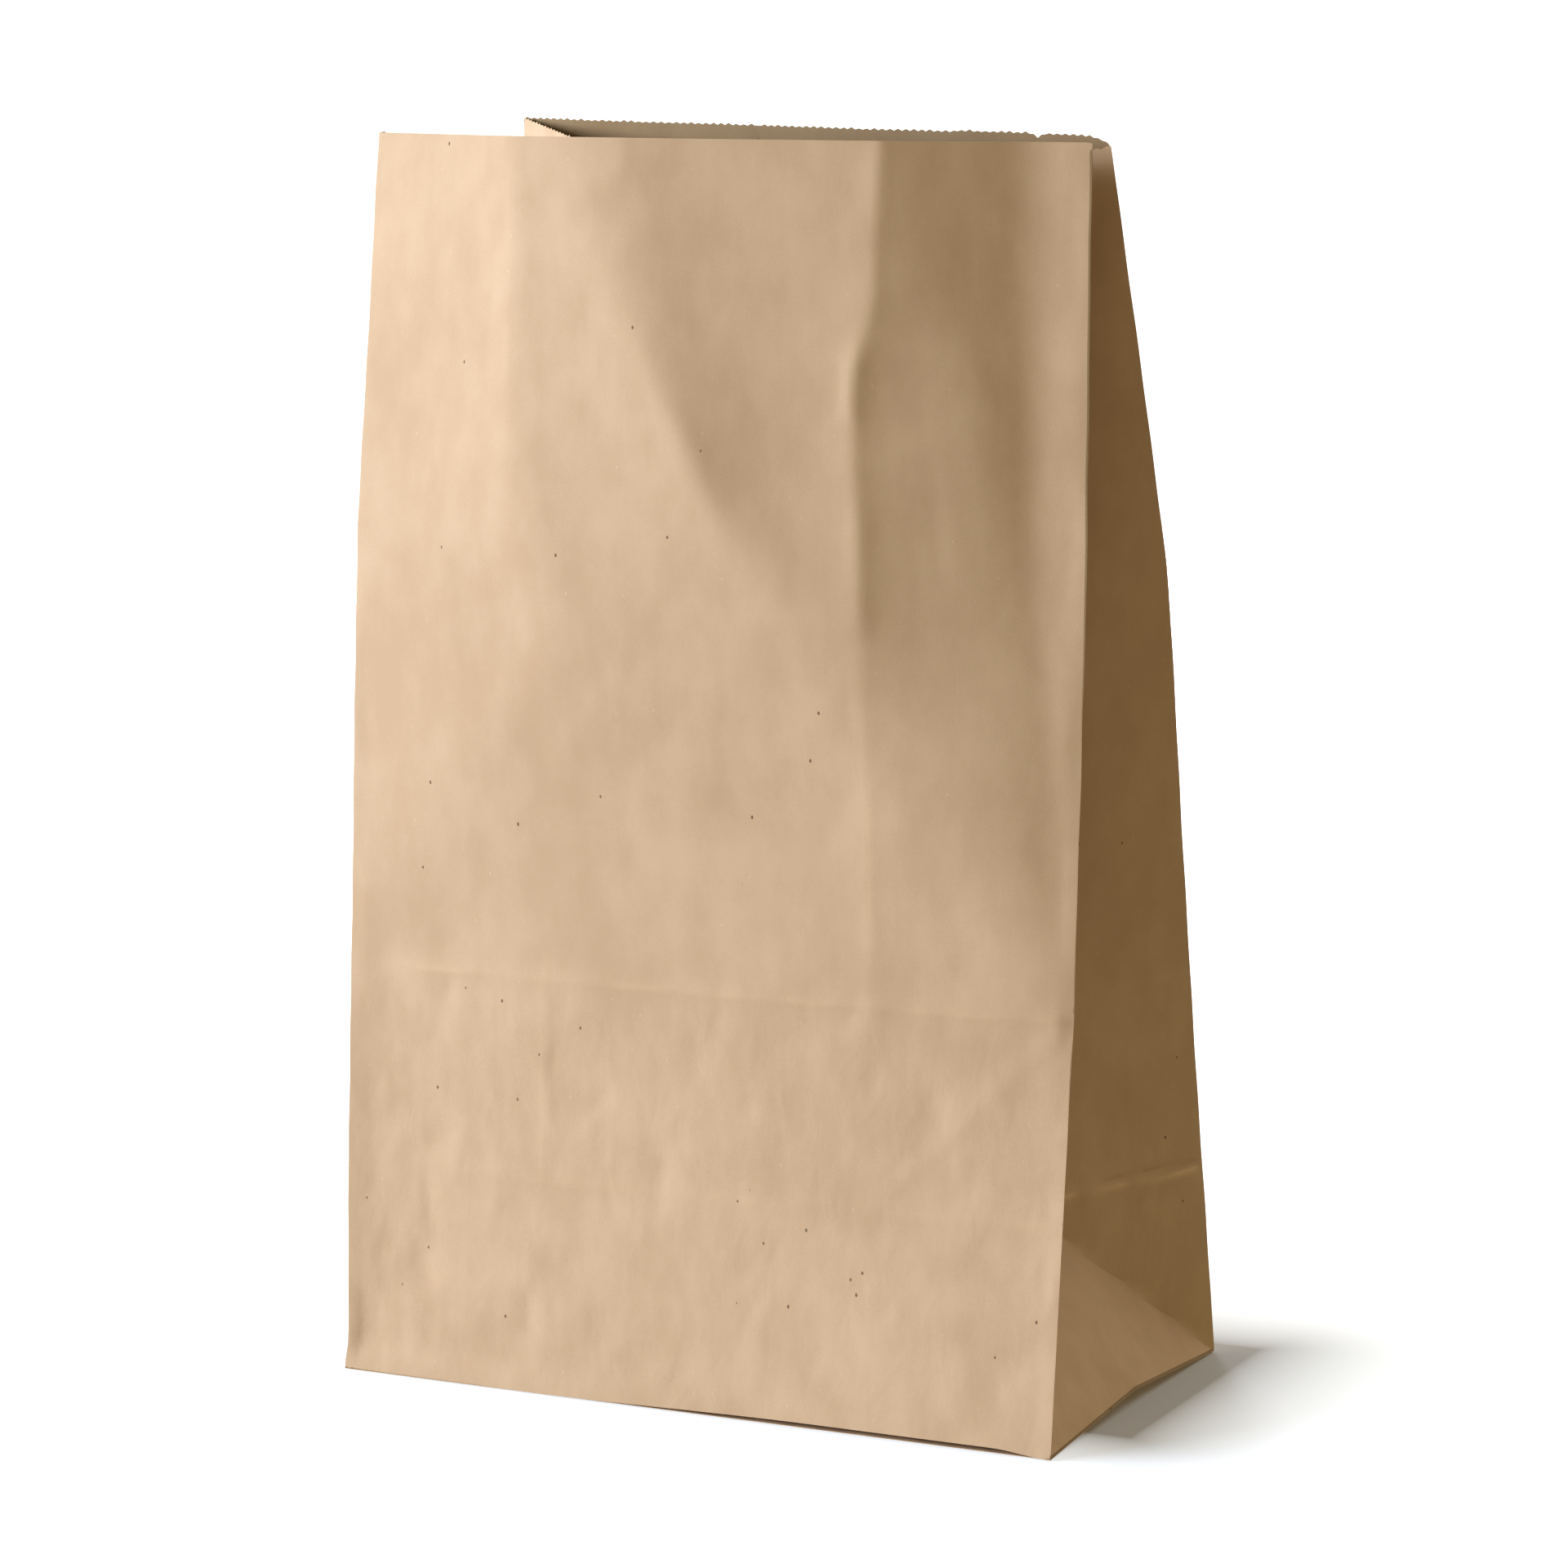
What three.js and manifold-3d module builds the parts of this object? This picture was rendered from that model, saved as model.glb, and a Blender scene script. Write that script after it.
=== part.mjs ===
// Brown paper lunch bag, opened out and standing on its satchel bottom.
// One sheet of kraft paper is lapped into a tube, pleated at the sides, then folded and glued shut below.
// Millimetres, +Z up. The front panel faces -Y, and the origin is on the floor under the middle of the base.

import * as THREE from 'three';
import { mergeVertices } from 'three/addons/utils/BufferGeometryUtils.js';
import initManifold from 'manifold-3d';

// Sheet
const paper = 0.12;             // thickness of one ply
const panelWidth = 178;         // front and back panels, fold to fold
const gussetWidth = 102;        // side pleats laid flat, which is also the depth of the base
const bagHeight = 287;          // base fold to mouth on the front panel
const backLip = 3.5;            // how far the middle of the back edge stands above the front
const lipSlant = 3;             // how much higher the back edge is at its right-hand end
const seamLap = 16;             // strip where the two ends of the sheet are glued together
const seamPlace = 95;           // middle of that strip, from the right-hand fold of the back panel
const flapLap = 22;             // overlap of the two bottom flaps
const flapMargin = 1;           // from a base fold to the flat of its flap
const endLift = 3.3;            // how far the middle of each end of the base stands off the floor

// How the paper bends
const creaseHeight = 96;        // cross crease left by the base, which lies against the front in a flat pack
const bendHeight = 192;         // where the back right-hand fold starts to lean harder
const softBend = 14;            // half width of the rounded bends in the front panel
const foldMargin = 1.2;         // from a sharp fold to where the paper has its full thickness
const edgeStep = 0.05;          // half width of the step at a glued edge

// Shape of the bag at four heights along the paper. turns are the headings in degrees of the three strips of
// the front panel, drawIn and setBack place its left-hand fold, and open says how far each side pleat stands
// open, where 1 is flat and 0 is folded shut.
const halfGusset = gussetWidth / 2;
const sections = [
  { height: 0, drawIn: 0, setBack: 0, turns: [0, 0, 0], openRight: 1, openLeft: 1 },
  { height: creaseHeight, drawIn: 0.3, setBack: 5, turns: [-4, 4.5, 5], openRight: 0.7, openLeft: 0.9 },
  { height: bendHeight, drawIn: 1, setBack: 8.5, turns: [-9.5, 7.5, 11], openRight: 0.48, openLeft: 0.83 },
  { height: bagHeight, drawIn: 2.2, setBack: 19, turns: [-22, 12, 20], openRight: 0.12, openLeft: 0.72 },
];
const baseLevel = 2.5 * paper;  // middle of the sheet that the two bottom flaps are glued under

// Where two links of known length meet, on the left (side 1) or right (side -1) of the way from a to b
function meet(a, reachA, b, reachB, side) {
  const heading = b.clone().sub(a);
  const gap = heading.length();
  heading.normalize();
  const foot = (gap * gap + reachA * reachA - reachB * reachB) / (2 * gap);
  const rise = Math.sqrt(Math.max(0, reachA * reachA - foot * foot));
  const square = new THREE.Vector2(-heading.y, heading.x);
  return a.clone().addScaledVector(heading, foot).addScaledVector(square, side * rise);
}

// The next point along the paper from a point, at a heading
function step(from, length, degrees) {
  const angle = THREE.MathUtils.degToRad(degrees);
  return new THREE.Vector2(from.x + length * Math.cos(angle), from.y + length * Math.sin(angle));
}

// One section as a closed chain of paper widths, seen from above
function outline({ drawIn, setBack, turns, openRight, openLeft }) {
  const frontLeft = new THREE.Vector2(drawIn - panelWidth / 2, setBack - halfGusset);
  const ridgeLeft = step(frontLeft, halfGusset, turns[0]);
  const ridgeRight = step(ridgeLeft, panelWidth - gussetWidth, turns[1]);
  const frontRight = step(ridgeRight, halfGusset, turns[2]);
  const backRight = step(frontRight, gussetWidth * openRight, 90);
  const backLeft = meet(backRight, panelWidth, frontLeft, gussetWidth * openLeft, -1);
  return { frontLeft, ridgeLeft, ridgeRight, frontRight, backRight, backLeft };
}

// The fold lines, lofted through the sections. Each point's height keeps the paper's length between them.
// The knee, where the 45 degree folds of a pleat meet, lies on the way from the base to the cross crease.
const chains = sections.map(outline);
const first = chains[0];
const kneeShare = halfGusset / creaseHeight;
const kneeChain = Object.fromEntries(
  Object.keys(first).map((name) => [name, first[name].clone().lerp(chains[1][name], kneeShare)]),
);
const stations = [0, halfGusset, ...sections.slice(1).map((section) => section.height)];
const levels = [first, kneeChain, ...chains.slice(1)];
for (const level of levels) {
  level.pleatRight = meet(level.frontRight, halfGusset, level.backRight, halfGusset, 1);
  level.pleatLeft = meet(level.backLeft, halfGusset, level.frontLeft, halfGusset, 1);
}

function foldLine(name) {
  let z = baseLevel;
  return levels.map((level, i) => {
    if (i > 0) {
      const run = stations[i] - stations[i - 1];
      const shift = level[name].distanceTo(levels[i - 1][name]);
      z += Math.sqrt(run * run - shift * shift);
    }
    return new THREE.Vector3(level[name].x, level[name].y, z);
  });
}
const folds = Object.fromEntries(Object.keys(first).map((name) => [name, foldLine(name)]));
folds.pleatRight[0].z += endLift;
folds.pleatLeft[0].z += endLift;

// A point of a fold line at a height along the paper
function along(fold, height) {
  let i = 1;
  while (i < stations.length - 1 && height > stations[i]) i += 1;
  const t = (height - stations[i - 1]) / (stations[i] - stations[i - 1]);
  return fold[i - 1].clone().lerp(fold[i], t);
}

// A panel hung between fold lines, with its inner bends rounded
function panelPoint(lines, across, height) {
  const reach = Math.min(softBend, across, panelWidth - across);
  const taps = reach > 0 ? [-1, -0.5, 0, 0.5, 1] : [0];
  const sum = new THREE.Vector3();
  for (const tap of taps) {
    const u = THREE.MathUtils.clamp(across + tap * reach, 0, panelWidth);
    let i = 1;
    while (i < lines.length - 1 && u > lines[i].at) i += 1;
    const t = (u - lines[i - 1].at) / (lines[i].at - lines[i - 1].at);
    sum.add(along(lines[i - 1].fold, height).lerp(along(lines[i].fold, height), t));
  }
  return sum.divideScalar(taps.length);
}

// One half of a side pleat. Below the knee it is two triangles, parted by a fold that runs up at 45 degrees.
function pleatPoint(edge, centre, across, height) {
  if (height >= halfGusset) return along(edge, height).lerp(along(centre, height), across / halfGusset);
  const [corner, knee, vertex, foot] = [edge[0], edge[1], centre[1], centre[0]];
  const over = across / halfGusset;
  const up = height / halfGusset;
  const point = corner.clone();
  if (up >= over) {
    return point.addScaledVector(vertex, over).addScaledVector(knee, up - over).addScaledVector(corner, -up);
  }
  return point.addScaledVector(vertex, up).addScaledVector(foot, over - up).addScaledVector(corner, -over);
}

// Columns round the bag, counterclockwise from above, starting at the front left-hand fold
const halfPly = paper / 2;
const quarter = halfGusset / 4;
const backTop = (u) => bagHeight + backLip + lipSlant * (0.5 - u / panelWidth);
const columns = [];

function addColumn(place, top, options = {}) {
  columns.push({ place, top, falling: false, inner: halfPly, outer: halfPly, end: 0, ...options });
}

const frontLines = [
  { at: 0, fold: folds.frontLeft },
  { at: halfGusset, fold: folds.ridgeLeft },
  { at: panelWidth - halfGusset, fold: folds.ridgeRight },
  { at: panelWidth, fold: folds.frontRight },
];
const backLines = [{ at: 0, fold: folds.backRight }, { at: panelWidth, fold: folds.backLeft }];

// Front panel, with columns close together through its two rounded bends
const bendTaps = [-softBend, -softBend / 2, 0, softBend / 2, softBend];
const frontPlaces = [
  0, foldMargin, (halfGusset - softBend) / 2,
  ...bendTaps.map((tap) => halfGusset + tap),
  panelWidth / 2,
  ...bendTaps.map((tap) => panelWidth - halfGusset + tap),
  panelWidth - (halfGusset - softBend) / 2, panelWidth - foldMargin,
];
for (const u of frontPlaces) {
  addColumn((v) => panelPoint(frontLines, u, v), bagHeight, { end: u < panelWidth / 2 ? -1 : 1 });
}

// A side pleat, from the fold it starts at to the one it ends at
const pleatPlaces = [0, foldMargin, quarter, 2 * quarter, 3 * quarter, halfGusset - foldMargin];
function addPleat(start, centre, finish, startTop, finishTop, end) {
  const topAt = (edgeTop, u) => THREE.MathUtils.lerp(edgeTop, bagHeight, u / halfGusset);
  for (const u of pleatPlaces) {
    addColumn((v) => pleatPoint(start, centre, u, v), topAt(startTop, u), { end });
  }
  addColumn((v) => pleatPoint(finish, centre, halfGusset, v), bagHeight, { end, falling: true });
  for (const u of pleatPlaces.slice(1).reverse()) {
    addColumn((v) => pleatPoint(finish, centre, u, v), topAt(finishTop, u), { end, falling: true });
  }
}
addPleat(folds.frontRight, folds.pleatRight, folds.backRight, bagHeight, backTop(0), 1);

// Back panel. At the lap one end of the sheet lies inside and the other outside, so each face steps once.
const lapStart = seamPlace - seamLap / 2;
const lapEnd = seamPlace + seamLap / 2;
const backPlaces = [
  { u: 0 }, { u: foldMargin }, { u: lapStart / 3 }, { u: (2 * lapStart) / 3 },
  { u: lapStart - edgeStep, inner: paper, outer: 0 },
  { u: lapStart + edgeStep, inner: paper, outer: paper },
  { u: lapEnd - edgeStep, inner: paper, outer: paper },
  { u: lapEnd + edgeStep, inner: 0, outer: paper },
  { u: (2 * lapEnd + panelWidth) / 3 },
  { u: (lapEnd + 2 * panelWidth) / 3 },
  { u: panelWidth - foldMargin },
];
for (const { u, ...plies } of backPlaces) {
  addColumn((v) => panelPoint(backLines, u, v), backTop(u), { end: u < panelWidth / 2 ? 1 : -1, ...plies });
}
addPleat(folds.backLeft, folds.pleatLeft, folds.frontLeft, backTop(panelWidth), bagHeight, -1);

// Rows from the base to the bend, then shares of what is left up to each column's own top
const lowRows = [0, foldMargin, quarter, 2 * quarter, 3 * quarter, halfGusset - foldMargin, halfGusset];
const midRows = [(halfGusset + creaseHeight) / 2, creaseHeight, (creaseHeight + bendHeight) / 2, bendHeight];
const topShares = [1 / 3, 2 / 3, 1];
const fixedRows = [...lowRows, ...midRows];
const rowCount = fixedRows.length + topShares.length;

function rowHeight(row, top) {
  if (row < fixedRows.length) return fixedRows[row];
  return THREE.MathUtils.lerp(bendHeight, top, topShares[row - fixedRows.length]);
}

// Middle surface of the sheet: the tube, then the base as a fan from the tip of each end triangle
const middle = [];
const inner = [];
const outer = [];
for (const column of columns) {
  for (let row = 0; row < rowCount; row += 1) {
    middle.push(column.place(rowHeight(row, column.top)));
    inner.push(column.inner);
    outer.push(column.outer);
  }
}
const tip = { 1: middle.length, '-1': middle.length + 1 };
for (const end of [1, -1]) {
  middle.push(new THREE.Vector3(end * (panelWidth / 2 - halfGusset), 0, baseLevel));
  inner.push(halfPly);
  outer.push(halfPly);
}

const at = (column, row) => (column % columns.length) * rowCount + row;
const faces = [];
columns.forEach((column, i) => {
  const next = columns[(i + 1) % columns.length];
  for (let row = 0; row < rowCount - 1; row += 1) {
    const [a, b, c, d] = [at(i, row), at(i + 1, row), at(i + 1, row + 1), at(i, row + 1)];
    if (column.falling) faces.push([a, b, d], [b, c, d]);
    else faces.push([a, b, c], [a, c, d]);
  }
  faces.push([at(i + 1, 0), at(i, 0), tip[column.end]]);
  if (next.end !== column.end) faces.push([at(i + 1, 0), tip[column.end], tip[next.end]]);
});

// Facet normals gathered at each point, and the length that keeps the ply's thickness round a fold
const surface = new THREE.BufferGeometry().setFromPoints(middle);
surface.setIndex(faces.flat());
surface.computeVertexNormals();
const normals = middle.map((_, i) => new THREE.Vector3().fromBufferAttribute(surface.attributes.normal, i));
const mitres = middle.map(() => ({ total: 0, count: 0 }));
for (const face of faces) {
  const normal = new THREE.Triangle(...face.map((i) => middle[i])).getNormal(new THREE.Vector3());
  for (const i of face) {
    mitres[i].total += normals[i].dot(normal);
    mitres[i].count += 1;
  }
}
const mitreLimit = 1.5;
const offset = (i, distance) => {
  const mitre = Math.min(mitreLimit, mitres[i].count / mitres[i].total);
  return middle[i].clone().addScaledVector(normals[i], distance * mitre);
};

// The ply as a closed shell: outside, inside turned over, and the cut edge round the mouth
const shellPoints = [
  ...middle.map((_, i) => offset(i, outer[i])),
  ...middle.map((_, i) => offset(i, -inner[i])),
];
const inside = middle.length;
const shellFaces = [...faces, ...faces.map(([a, b, c]) => [inside + a, inside + c, inside + b])];
columns.forEach((_, i) => {
  const [a, b] = [at(i, rowCount - 1), at(i + 1, rowCount - 1)];
  shellFaces.push([a, b, inside + b], [a, inside + b, inside + a]);
});
const shell = new THREE.BufferGeometry().setFromPoints(shellPoints);
shell.setIndex(shellFaces.flat());

// Bottom flaps: both fold in under the sheet, and the one from the back lies outermost
function flap(points, lower, upper) {
  const shape = new THREE.Shape(points.map(([x, y]) => new THREE.Vector2(x, y)));
  const geometry = new THREE.ExtrudeGeometry(shape, { depth: upper - lower, bevelEnabled: false });
  geometry.translate(0, 0, lower);
  geometry.deleteAttribute('normal');
  geometry.deleteAttribute('uv');
  return mergeVertices(geometry);
}
const [flapX, flapY] = [panelWidth / 2 - flapMargin, halfGusset - flapMargin];
const tipX = panelWidth / 2 - halfGusset;
const freeX = tipX - flapLap / 2;
const glue = paper / 4;         // how far each ply is sunk into the next so that they are one body
const underFlaps = flap(
  [[-flapX, -flapY], [flapX, -flapY], [tipX, 0], [flapX, flapY], [-flapX, flapY], [-tipX, 0]],
  paper, 2 * paper + glue,
);
const outerFlap = flap(
  [[-freeX, -flapLap / 2], [freeX, -flapLap / 2], [flapX, flapY], [-flapX, flapY]],
  0, paper + glue,
);

// Join the plies into one body
const manifold = await initManifold();
manifold.setup();
function toSolid(geometry) {
  return new manifold.Manifold(new manifold.Mesh({
    numProp: 3,
    vertProperties: new Float32Array(geometry.attributes.position.array),
    triVerts: new Uint32Array(geometry.index.array),
  }));
}
const joined = toSolid(shell).add(toSolid(underFlaps)).add(toSolid(outerFlap)).getMesh();
const body = new THREE.BufferGeometry();
body.setAttribute('position', new THREE.BufferAttribute(joined.vertProperties, joined.numProp));
body.setIndex(new THREE.BufferAttribute(joined.triVerts, 1));
body.computeVertexNormals();

const kraft = new THREE.MeshStandardMaterial({ color: 0xc49f73, roughness: 0.85, metalness: 0 });
const bag = new THREE.Mesh(body, kraft);
bag.name = 'paper_bag';

const part = new THREE.Group();
part.name = 'paper_lunch_bag';
part.add(bag);

export default part;
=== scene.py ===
import math

import bpy
import numpy as np
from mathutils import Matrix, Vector


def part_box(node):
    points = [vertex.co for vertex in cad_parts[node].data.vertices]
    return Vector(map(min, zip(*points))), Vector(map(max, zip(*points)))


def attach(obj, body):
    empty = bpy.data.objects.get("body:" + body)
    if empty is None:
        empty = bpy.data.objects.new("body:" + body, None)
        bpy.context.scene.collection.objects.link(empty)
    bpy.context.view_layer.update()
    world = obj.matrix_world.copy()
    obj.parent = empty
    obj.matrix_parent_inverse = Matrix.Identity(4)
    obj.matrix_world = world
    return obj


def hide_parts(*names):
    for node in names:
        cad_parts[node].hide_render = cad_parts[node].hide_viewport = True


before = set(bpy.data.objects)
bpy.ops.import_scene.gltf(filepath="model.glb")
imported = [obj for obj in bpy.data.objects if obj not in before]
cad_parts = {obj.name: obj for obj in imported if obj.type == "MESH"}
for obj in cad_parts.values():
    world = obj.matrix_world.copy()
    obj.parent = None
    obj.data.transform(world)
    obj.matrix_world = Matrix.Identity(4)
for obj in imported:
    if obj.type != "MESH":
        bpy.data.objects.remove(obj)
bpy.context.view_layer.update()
mm = 0.001
print("frame loaded:", sorted(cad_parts))

# The bag as it stands. Four sections from the base up: the base, the crease left by the folded bottom,
# the height where the right side leans harder, and the mouth.
bag = {
    "node": "paper_bag",
    "slot": "kraft_paper",
    "ply": 0.12,
    "height": 287.0,  # base fold to mouth on the front
    "backLip": 3.5,  # back panel above the front
    "lipSlant": 3.0,  # the back edge is cut higher on the right
    "creaseHeight": 96.0,
    "bendHeight": 192.0,
    "drawIn": (0, 0.3, 1, 2.2),
    "setBack": (0, 5, 8.5, 19),
    "turns": ((0, 0, 0), (-4, 4.5, 5), (-9.5, 7.5, 11), (-22, 12, 20)),
    "openRight": (1, 0.70, 0.48, 0.12),
    "openLeft": (1, 0.9, 0.83, 0.72),
    "endLift": 3.3,  # middle of each short side stands off the floor
    "frontLift": 1.1,  # and the front edge a little, towards the right
    "cornerPinch": 0.7,  # left-hand fold drawn in just above the base
    "seamMiddle": 95.0,  # from the right-hand fold of the back panel
    "seamLap": 16.0,
    "rowStep": 2.0,
    "frontStep": 1.3,
    "sideStep": 2.3,
    "foldWander": 0.05,  # folds are not dead straight
    "wanderPitch": ((18, 30), (40, 75)),
    "wanderPhase": 6.3,
    "easing": (-7.0, -3.5, 0.0, 3.5, 7.0),  # a bend is averaged over these shifts up and down the fold
    "cornerDip": 2.2,  # the back edge is worn down at its right-hand corner
    "cornerDipWidth": 2.5,
    "foldSharpness": 32.0,  # degrees between faces that still shade as one
    "seed": 11,
}
teeth = {
    "height": 0.42,
    "nick": 20.3,  # places of the nick and step, from the right-hand fold of the back
    "nickWidth": 1.2,
    "nickDepth": 1.2,
    "step": 43.7,
    "stepHeight": 0.25,
}

boxLow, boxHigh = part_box(bag["node"])
panelWidth = (boxHigh.x - boxLow.x) / mm - bag["ply"]
gussetWidth = (boxHigh.y - boxLow.y) / mm - bag["ply"]
frontHeight = bag["height"]
backHeight = frontHeight + bag["backLip"]
half = gussetWidth / 2
baseLevel = 2.5 * bag["ply"]
rng = np.random.default_rng(bag["seed"])


def smooth(value):
    t = np.clip(value, 0, 1)
    return t * t * (3 - 2 * t)


def stepOn(point, length, degrees):  # next point along the paper
    angle = math.radians(degrees)
    return point + length * np.array([math.cos(angle), math.sin(angle)])


def meet(a, reachA, b, reachB, side):  # where two paper widths meet, left (1) or right (-1) of a to b
    line = b - a
    gap = np.linalg.norm(line)
    line = line / gap
    foot = (gap**2 + reachA**2 - reachB**2) / (2 * gap)
    rise = math.sqrt(max(0, reachA**2 - foot**2))
    return a + line * foot + side * rise * np.array([-line[1], line[0]])


def outline(level):  # one section as a closed chain of paper widths, seen from above
    left, middle, right = bag["turns"][level]
    start = np.array([bag["drawIn"][level] - panelWidth / 2, bag["setBack"][level] - half])
    points = {"frontLeft": start}
    points["ridgeLeft"] = stepOn(points["frontLeft"], half, left)
    points["ridgeRight"] = stepOn(points["ridgeLeft"], panelWidth - gussetWidth, middle)
    points["frontRight"] = stepOn(points["ridgeRight"], half, right)
    points["backRight"] = stepOn(points["frontRight"], gussetWidth * bag["openRight"][level], 90)
    leftGap = gussetWidth * bag["openLeft"][level]
    points["backLeft"] = meet(points["backRight"], panelWidth, points["frontLeft"], leftGap, -1)
    return points


stations = np.array([0, half, bag["creaseHeight"], bag["bendHeight"], frontHeight])
chains = [outline(level) for level in range(4)]
kneeShare = half / bag["creaseHeight"]
knee = {name: chains[0][name] * (1 - kneeShare) + chains[1][name] * kneeShare for name in chains[0]}
levels = [chains[0], knee] + chains[1:]
for level in levels:
    level["pleatRight"] = meet(level["frontRight"], half, level["backRight"], half, 1)
    level["pleatLeft"] = meet(level["backLeft"], half, level["frontLeft"], half, 1)


def foldLine(name):  # heights keep the paper's length between sections
    plan = np.array([level[name] for level in levels])
    shift = np.linalg.norm(np.diff(plan, axis=0), axis=1)
    rise = np.sqrt(np.diff(stations) ** 2 - shift**2)
    return np.column_stack([plan, baseLevel + np.concatenate([[0], np.cumsum(rise)])])


folds = {name: foldLine(name) for name in levels[0]}
folds["pleatRight"][0, 2] += bag["endLift"]
folds["pleatLeft"][0, 2] += bag["endLift"]
wander = {}
for name in folds:
    wander[name] = [(rng.uniform(*pitch), rng.uniform(0, bag["wanderPhase"])) for pitch in bag["wanderPitch"]]


def along(name, height):  # a point of a fold line at a height along the paper, its bends eased
    fold = folds[name]
    total = 0
    for shift in bag["easing"]:
        h = height + np.where(height > bag["creaseHeight"] + 8, shift, 0.0)
        i = np.clip(np.searchsorted(stations, h), 1, len(stations) - 1)
        t = ((h - stations[i - 1]) / (stations[i] - stations[i - 1]))[..., None]
        total = total + fold[i - 1] * (1 - t) + fold[i] * t
    sway = sum(np.cos(height * 2 * np.pi / pitch + phase) for pitch, phase in wander[name])
    drift = bag["foldWander"] * smooth((height - 4) / 14) * sway
    if name == "frontLeft":
        drift = drift + bag["cornerPinch"] * smooth(height / 7) * (1 - smooth((height - 8) / 50))
    return total / len(bag["easing"]) + drift[..., None] * np.array([0.7, 0.7, 0.0])


# How far the front panel is turned from square at its left-hand edge, as (up, degrees), and its bends from
# left to right: where each runs (up, across), what it turns (up, degrees) and how wide it is (up, mm).
frontTurns = {
    "columns": 357,
    "rows": 297,
    "leftEdge": [(0, 0), (12, 5), (96, 7), (116, 0), (134, -13), (180, -21), (292, -22)],
    "bends": [
        {  # rounded left edge below the crease
            "path": [(0, 6), (116, 10)],
            "turn": [(0, 0), (12, -5), (96, -8), (116, 0)],
            "width": [(0, 8)],
        },
        {  # left ridge, ending in a soft slope down to the left edge
            "path": [(112, 4), (128, 20), (156, 44), (176, 59), (194, 54), (235, 48), (292, 47)],
            "turn": [(96, 0), (116, 1), (134, 8), (180, 13), (235, 14), (292, 14)],
            "width": [(112, 16), (176, 20), (205, 18), (240, 9), (292, 7)],
        },
        {  # long slope from the top left to the right-hand edge
            "path": [
                (97, 177), (120, 164), (150, 145), (180, 121),
                (206, 97), (242, 80), (262, 74), (292, 66),
            ],
            "turn": [(90, 0), (104, 9), (130, 13), (178, 18), (206, 28), (242, 25), (292, 18)],
            "width": [
                (97, 18), (140, 34), (180, 30), (194, 20),
                (206, 6), (236, 8), (262, 26), (292, 40),
            ],
        },
        {  # easing off beside it
            "path": [(176, 142), (206, 116), (242, 101), (292, 98)],
            "turn": [(165, 0), (190, -7), (230, -6), (258, -2), (292, 0)],
            "width": [(176, 26)],
        },
        {  # right-hand crease
            "path": [(176, 130), (220, 127.7), (236, 127.6), (252, 131), (292, 131.8)],
            "turn": [(172, 0), (184, 9), (196, 14), (208, 13), (226, 10), (292, 10)],
            "width": [(176, 3)],
        },
        {  # hollow beside it, running down to the right
            "path": [(204, 160), (214, 157), (240, 151), (262, 140), (292, 134)],
            "turn": [(203, 0), (214, 6), (235, 8), (262, 8), (292, 6)],
            "width": [(204, 9), (240, 11), (262, 20), (292, 24)],
        },
        {  # hollow fading out down the right-hand edge
            "path": [(96, 168), (200, 156)],
            "turn": [(98, 0), (114, 6), (160, 8), (182, 4), (200, 0)],
            "width": [(96, 18), (200, 26)],
        },
        {  # right-hand edge below the crease
            "path": [(36, 168), (100, 168)],
            "turn": [(36, 0), (60, -5), (90, -8), (100, 0)],
            "width": [(36, 9)],
        },
        {  # narrow flat beside the right-hand fold
            "path": [(112, 176), (150, 172), (205, 167), (292, 165)],
            "turn": [(100, 0), (118, -5), (160, -9), (200, -13), (230, -17), (292, -18)],
            "width": [(112, 6), (170, 7), (230, 10), (292, 16)],
        },
    ],
}


def byHeight(height, pairs):
    return np.interp(height, [pair[0] for pair in pairs], [pair[1] for pair in pairs])


def settle(slopeAcross, slopeUp, stepAcross, stepUp):  # depths nearest to the slopes, held at base and sides
    target = np.zeros((slopeUp.shape[0], slopeAcross.shape[1] + 1))
    target[:, :-1] += slopeAcross / stepAcross
    target[:, 1:] -= slopeAcross / stepAcross
    target[:-1] += slopeUp[:-1] / stepUp
    target[1:] -= slopeUp[:-1] / stepUp
    free = target[1:, 1:-1]
    upward = np.concatenate([free, free[::-1]])
    empty = np.zeros((1, free.shape[1]))
    mirrored = np.concatenate([empty, upward, empty, -upward])
    gap = np.zeros((mirrored.shape[0], 1))
    mirrored = np.concatenate([gap, mirrored, gap, -mirrored[:, ::-1]], axis=1)
    rate = [2 - 2 * np.cos(2 * np.pi * np.arange(count) / count) for count in mirrored.shape]
    stiffness = rate[0][:, None] / stepUp**2 + rate[1][None, :] / stepAcross**2
    stiffness[0, 0] = 1
    depth = -np.fft.ifft2(np.fft.fft2(mirrored) / stiffness).real
    return depth[: target.shape[0], : target.shape[1]]


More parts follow.
